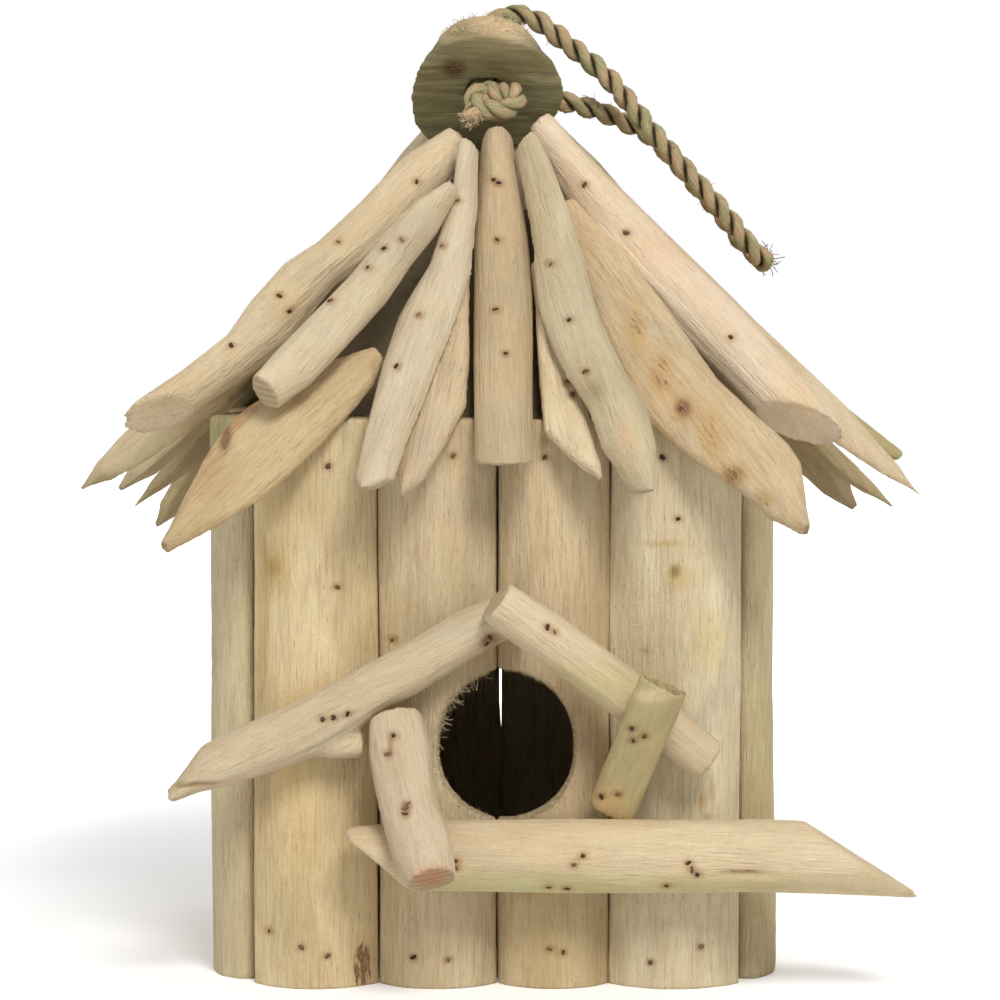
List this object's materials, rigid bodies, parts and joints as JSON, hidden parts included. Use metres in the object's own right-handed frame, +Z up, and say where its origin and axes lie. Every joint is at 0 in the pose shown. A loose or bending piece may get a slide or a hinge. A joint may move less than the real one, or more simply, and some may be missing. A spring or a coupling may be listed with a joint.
{
  "type": "hanging nest box",
  "caption": "Driftwood nest box: a square box of upright half-round slabs with a round entrance, perch, stick gable, pyramid roof of sticks, cap disc and rope loop.",
  "frame": {"origin": "middle of the floor board's underside, where the box rests", "axes": "+Z up, -Y out of the front wall through the entrance, +X to the right seen from the front"},
  "size_m": [0.2601, 0.2422, 0.2885],
  "materials": {
    "inner_boards": "raw sawn softwood, dusty",
    "wall_slabs": "weathered half-round slabs, matt, fine upright grain",
    "roof_slats": "flat driftwood slats, matt, knots and bark stains",
    "roof_poles": "round driftwood sticks, sea-smoothed, matt",
    "cap_disc": "rough sawn disc with fibrous rim",
    "gable_and_perch": "round driftwood sticks, matt",
    "rope": "twisted natural grass rope"
  },
  "bodies": {
    "root": {"floor_board": "inner_boards", "ceiling_board": "inner_boards", "roof_post": "inner_boards", "inner_roof": "inner_boards", "front_slab_1": "wall_slabs", "front_slab_2": "wall_slabs", "front_slab_3": "wall_slabs", "front_slab_4": "wall_slabs", "right_slab_1": "wall_slabs", "right_slab_2": "wall_slabs", "right_slab_3": "wall_slabs", "right_slab_4": "wall_slabs", "back_slab_1": "wall_slabs", "back_slab_2": "wall_slabs", "back_slab_3": "wall_slabs", "back_slab_4": "wall_slabs", "left_slab_1": "wall_slabs", "left_slab_2": "wall_slabs", "left_slab_3": "wall_slabs", "left_slab_4": "wall_slabs", "roof_slat_1": "roof_slats", "roof_slat_2": "roof_slats", "roof_slat_3": "roof_slats", "roof_slat_4": "roof_slats", "roof_slat_5": "roof_slats", "roof_slat_6": "roof_slats", "roof_slat_7": "roof_slats", "roof_slat_8": "roof_slats", "roof_slat_9": "roof_slats", "roof_slat_10": "roof_slats", "roof_slat_11": "roof_slats", "roof_pole_1": "roof_poles", "roof_pole_2": "roof_poles", "roof_pole_3": "roof_poles", "roof_pole_4": "roof_poles", "roof_pole_5": "roof_poles", "roof_pole_6": "roof_poles", "roof_pole_7": "roof_poles", "roof_pole_8": "roof_poles", "roof_pole_9": "roof_poles", "roof_pole_10": "roof_poles", "roof_pole_11": "roof_poles", "roof_pole_12": "roof_poles", "roof_pole_13": "roof_poles", "roof_pole_14": "roof_poles", "cap_disc": "cap_disc", "perch": "gable_and_perch", "gable_stick_left": "gable_and_perch", "gable_stick_right": "gable_and_perch", "post_left": "gable_and_perch", "post_right": "gable_and_perch", "rope_loop": "rope", "rope_knot": "rope"}
  },
  "joints": []
}
